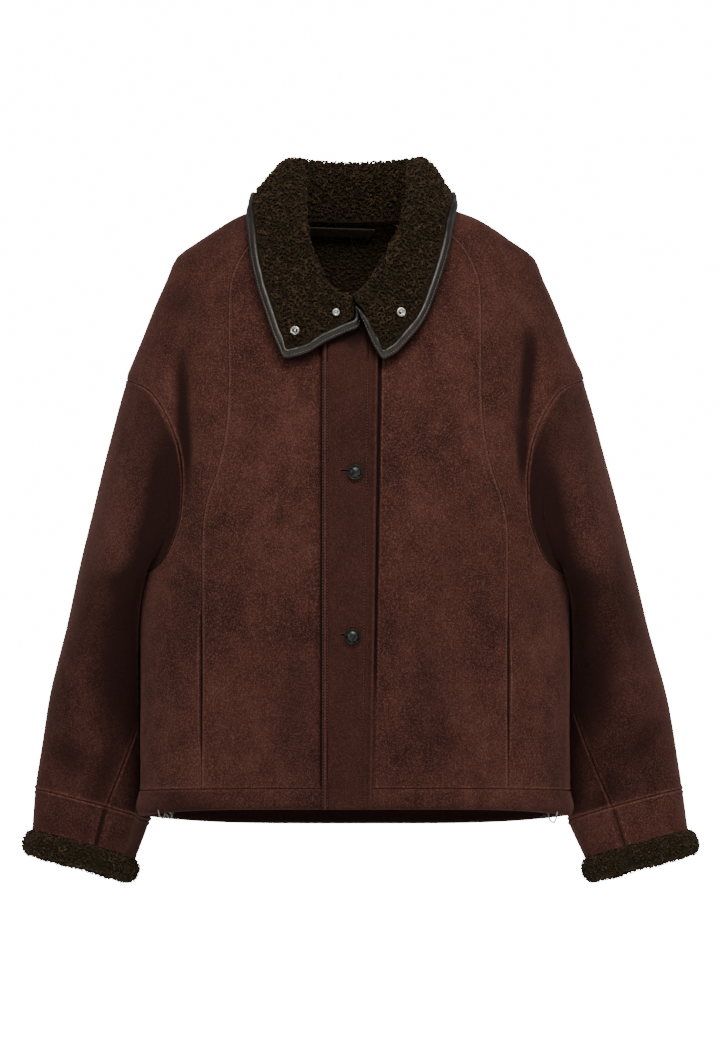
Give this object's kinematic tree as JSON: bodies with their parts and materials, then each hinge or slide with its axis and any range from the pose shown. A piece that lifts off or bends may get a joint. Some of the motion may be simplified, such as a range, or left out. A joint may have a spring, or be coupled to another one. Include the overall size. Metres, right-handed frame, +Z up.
{
  "type": "shearling coat",
  "caption": "Short boxy shearling coat, suede side out, with bound turn-down fur collar, button placket, dropped two-piece sleeves and rolled fur cuffs, filled out as worn",
  "frame": {"origin": "middle of the neck, at the height of the back neck seam, where the wearer holds the coat up", "axes": "+Z up the wearer, -Y the way the front faces, +X towards the wearer's left arm, which is right as seen from the front"},
  "size_m": [0.7462, 0.2698, 0.7985],
  "materials": {
    "suede": "burgundy-brown suede nap, matt",
    "placket_suede": "darker, smoother suede, matt",
    "fur": "curly shearling wool, matt",
    "leather": "smooth dark leather, satin",
    "gunmetal": "dark plated metal",
    "silver": "plated metal",
    "cord": "matt tape"
  },
  "bodies": {
    "root": {"back_panel": "suede", "button_lower": "gunmetal", "button_upper": "gunmetal", "collar": "fur", "collar_binding": "leather", "cuff_band_left": "suede", "cuff_band_right": "suede", "cuff_fur_left": "fur", "cuff_fur_right": "fur", "front_centre_left": "suede", "front_centre_right": "suede", "front_side_left": "suede", "front_side_right": "suede", "hem_band_back": "suede", "hem_band_front_left": "suede", "hem_band_front_right": "suede", "hem_toggle_left": "gunmetal", "hem_toggle_right": "gunmetal", "neck_tape": "cord", "placket": "placket_suede", "pocket_facing_left": "placket_suede", "pocket_facing_right": "placket_suede", "sleeve_under_left": "suede", "sleeve_under_right": "suede", "sleeve_upper_left": "suede", "sleeve_upper_right": "suede", "snap_left_inner": "silver", "snap_left_outer": "silver", "snap_right": "silver"}
  },
  "joints": []
}
